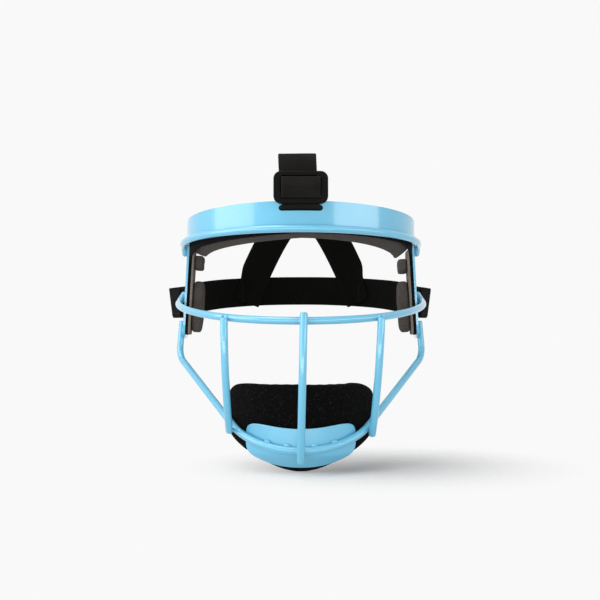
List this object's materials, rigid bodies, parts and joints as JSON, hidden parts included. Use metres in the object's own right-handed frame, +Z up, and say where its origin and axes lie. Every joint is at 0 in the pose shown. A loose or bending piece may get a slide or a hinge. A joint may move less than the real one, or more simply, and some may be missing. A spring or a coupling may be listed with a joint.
{
  "type": "softball face guard",
  "caption": "Wire-cage fielder's face guard with a bent brow plate, foam pads at brow, cheeks and chin, an elastic harness and a buckled crown strap.",
  "frame": {"origin": "middle of the head space, level with the strap slots of the side plates", "axes": "+X towards the wearer's left, +Y backwards into the head, +Z up the wearer's head"},
  "size_m": [0.2218, 0.2502, 0.2124],
  "materials": {
    "powder_coat": "gloss powder coat",
    "foam": "open-cell foam with a matte cut edge",
    "chin_foam": "brushed fabric faced foam",
    "hook_tape": "woven hook tape",
    "webbing": "ribbed webbing",
    "elastic": "knitted elastic",
    "buckle": "satin moulded"
  },
  "bodies": {
    "cage": {"brow_plate": "powder_coat", "brow_wire": "powder_coat", "cheek_wire": "powder_coat", "jaw_wire": "powder_coat", "center_bar": "powder_coat", "chin_plate": "powder_coat", "chin_tacks": "powder_coat", "brow_hook": "hook_tape", "brow_pad": "foam", "chin_hook": "hook_tape", "chin_pad": "chin_foam", "crown_strap": "webbing", "anchor_strap": "webbing", "left_side_plate": "powder_coat", "right_side_plate": "powder_coat", "left_bar": "powder_coat", "right_bar": "powder_coat", "left_side_hook": "hook_tape", "right_side_hook": "hook_tape", "left_side_liner": "foam", "right_side_liner": "foam", "left_temple_cushion": "foam", "right_temple_cushion": "foam", "left_cheek_cushion": "foam", "right_cheek_cushion": "foam", "left_slot_fold": "elastic", "right_slot_fold": "elastic"},
    "harness": {"back_strap": "elastic", "left_v_strap": "elastic", "right_v_strap": "elastic"},
    "buckle": {"tri_glide": "buckle", "strap_bight": "webbing"},
    "left_tab": {"left_strap_tab": "elastic", "left_tab_hook": "hook_tape"},
    "right_tab": {"right_strap_tab": "elastic", "right_tab_hook": "hook_tape"}
  },
  "joints": [
    {"name": "harness_swing", "type": "hinge", "parent": "cage", "child": "harness", "pos_m": [0, 0.02242, -0.00106], "axis": [1, 0, 0], "range_deg": [0, 25], "deforming": ["crown_strap", "left_slot_fold", "right_slot_fold"]},
    {"name": "buckle_slide", "type": "slide", "parent": "cage", "child": "buckle", "axis": [0, 0.048, 0.9988], "range_m": [-0.003, 0.008]},
    {"name": "left_tab_peel", "type": "hinge", "parent": "harness", "child": "left_tab", "pos_m": [0.09089, 0.03279, -0.00146], "axis": [0.0523, -0.0506, -0.9973], "range_deg": [-22, 70]},
    {"name": "right_tab_peel", "type": "hinge", "parent": "harness", "child": "right_tab", "pos_m": [-0.09089, 0.03279, -0.00146], "axis": [0.0523, 0.0506, 0.9973], "range_deg": [-22, 70]}
  ]
}
